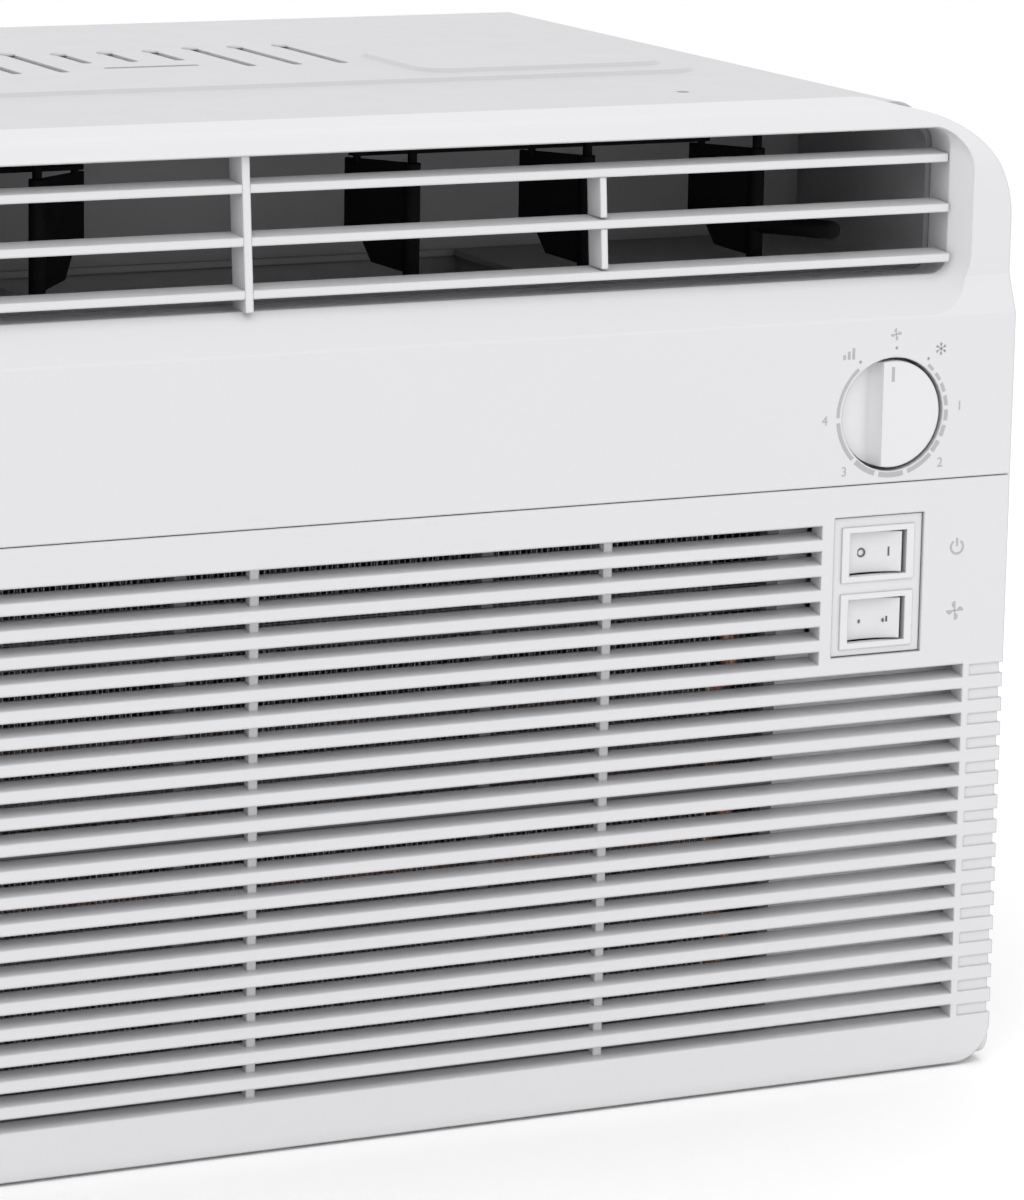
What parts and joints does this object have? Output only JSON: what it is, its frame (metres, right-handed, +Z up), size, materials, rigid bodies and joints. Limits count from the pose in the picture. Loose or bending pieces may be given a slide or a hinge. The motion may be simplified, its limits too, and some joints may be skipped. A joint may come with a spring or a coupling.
{
  "type": "window air conditioner",
  "caption": "White window air conditioner with a louvred intake panel, a top air outlet with steerable vanes, a rotary thermostat and rocker switches.",
  "frame": {"origin": "centre of the underside", "axes": "+X to the right seen from the room, +Y to the rear (outdoors), +Z up"},
  "size_m": [0.406, 0.345, 0.315],
  "materials": {
    "white_plastic": "satin moulded plastic, slightly cool white",
    "control_plastic": "fine satin plastic",
    "white_steel": "white powder coat",
    "galvanised_steel": "zinc coated sheet",
    "screw_steel": "plated steel",
    "black_plastic": "black moulded plastic",
    "duct_plastic": "grey moulded plastic",
    "fan_plastic": "dark glass filled plastic",
    "filter_plastic": "dark grey plastic",
    "filter_net": "woven net",
    "fin_aluminium": "thin rolled fins",
    "copper": "copper tube",
    "black_paint": "black paint",
    "capacitor_can": "drawn can",
    "rubber": "moulded rubber"
  },
  "bodies": {
    "root": {"front_bezel": "white_plastic", "outlet_bars": "white_plastic", "outlet_rib": "white_plastic", "outlet_tie": "white_plastic", "switch_plate": "control_plastic", "cabinet": "white_steel", "base_pan": "galvanised_steel", "rear_guard": "galvanised_steel", "bulkhead": "galvanised_steel", "control_box": "galvanised_steel", "motor_bracket": "galvanised_steel", "fan_shroud": "galvanised_steel", "evaporator_end_plates": "galvanised_steel", "condenser_end_plates": "galvanised_steel", "cabinet_screws": "screw_steel", "compressor_studs": "screw_steel", "power_switch": "black_plastic", "speed_switch": "black_plastic", "thermostat": "black_plastic", "terminal_cover": "black_plastic", "outlet_duct": "duct_plastic", "blower_scroll": "duct_plastic", "evaporator_fins": "fin_aluminium", "condenser_fins": "fin_aluminium", "evaporator_tubes": "copper", "condenser_tubes": "copper", "suction_line": "copper", "discharge_line": "copper", "capillary_tube": "copper", "filter_drier": "copper", "sensing_bulb": "copper", "compressor": "black_paint", "accumulator": "black_paint", "fan_motor": "black_paint", "run_capacitor": "capacitor_can", "compressor_grommets": "rubber", "cord_gland": "rubber"},
    "intake_door": {"intake_panel": "white_plastic", "filter_frame": "filter_plastic", "filter_mesh": "filter_net"},
    "knob": {"thermostat_knob": "control_plastic", "thermostat_shaft": "screw_steel"},
    "power_key": {"power_rocker": "control_plastic"},
    "speed_key": {"speed_rocker": "control_plastic"},
    "right_handle_vane": {"right_blade_handle": "black_plastic"},
    "right_middle_vane": {"right_blade_middle": "black_plastic"},
    "right_inner_vane": {"right_blade_inner": "black_plastic"},
    "right_link": {"right_blade_link": "black_plastic"},
    "left_handle_vane": {"left_blade_handle": "black_plastic"},
    "left_inner_vane": {"left_blade_inner": "black_plastic"},
    "left_link": {"left_blade_link": "black_plastic"},
    "fan": {"fan_shaft": "screw_steel", "blower_wheel": "fan_plastic", "condenser_fan": "fan_plastic"}
  },
  "joints": [
    {"name": "intake_door_tilt", "type": "hinge", "parent": "root", "child": "intake_door", "pos_m": [0, -0.1645, 0.009], "axis": [1, 0, 0], "range_deg": [0, 25]},
    {"name": "knob_turn", "type": "hinge", "parent": "root", "child": "knob", "pos_m": [0.1587, -0.1725, 0.2194], "axis": [0, 1, 0], "range_deg": [0, 325]},
    {"name": "power_key_rock", "type": "hinge", "parent": "root", "child": "power_key", "pos_m": [0.1553, -0.165, 0.1744], "axis": [0, 0, 1], "range_deg": [0, 12]},
    {"name": "speed_key_rock", "type": "hinge", "parent": "root", "child": "speed_key", "pos_m": [0.1553, -0.165, 0.1526], "axis": [0, 0, 1], "range_deg": [0, 12]},
    {"name": "right_vane_turn", "type": "hinge", "parent": "root", "child": "right_handle_vane", "pos_m": [0.1264, -0.1365, 0], "axis": [0, 0, 1], "range_deg": [-85, 15]},
    {"name": "right_middle_turn", "type": "hinge", "parent": "root", "child": "right_middle_vane", "pos_m": [0.066, -0.1365, 0], "axis": [0, 0, 1], "range_deg": [-85, 15]},
    {"name": "right_inner_turn", "type": "hinge", "parent": "root", "child": "right_inner_vane", "pos_m": [0.0056, -0.1365, 0], "axis": [0, 0, 1], "range_deg": [-85, 15]},
    {"name": "right_link_swing", "type": "hinge", "parent": "right_handle_vane", "child": "right_link", "pos_m": [0.11493, -0.12012, 0.303], "axis": [0, 0, 1], "range_deg": [-15, 85]},
    {"name": "left_vane_turn", "type": "hinge", "parent": "root", "child": "left_handle_vane", "pos_m": [-0.158, -0.1365, 0], "axis": [0, 0, 1], "range_deg": [-5, 70]},
    {"name": "left_inner_turn", "type": "hinge", "parent": "root", "child": "left_inner_vane", "pos_m": [-0.118, -0.1365, 0], "axis": [0, 0, 1], "range_deg": [-5, 70]},
    {"name": "left_link_swing", "type": "hinge", "parent": "left_handle_vane", "child": "left_link", "pos_m": [-0.14162, -0.12503, 0.303], "axis": [0, 0, 1], "range_deg": [-70, 5]},
    {"name": "fan_spin", "type": "hinge", "parent": "root", "child": "fan", "pos_m": [-0.03, -0.1725, 0.15], "axis": [0, 1, 0], "continuous": true}
  ],
  "couplings": [
    {"joint": "right_middle_turn", "follows": "right_vane_turn", "ratio": 1},
    {"joint": "right_inner_turn", "follows": "right_vane_turn", "ratio": 1},
    {"joint": "right_link_swing", "follows": "right_vane_turn", "ratio": -1},
    {"joint": "left_inner_turn", "follows": "left_vane_turn", "ratio": 1},
    {"joint": "left_link_swing", "follows": "left_vane_turn", "ratio": -1}
  ]
}
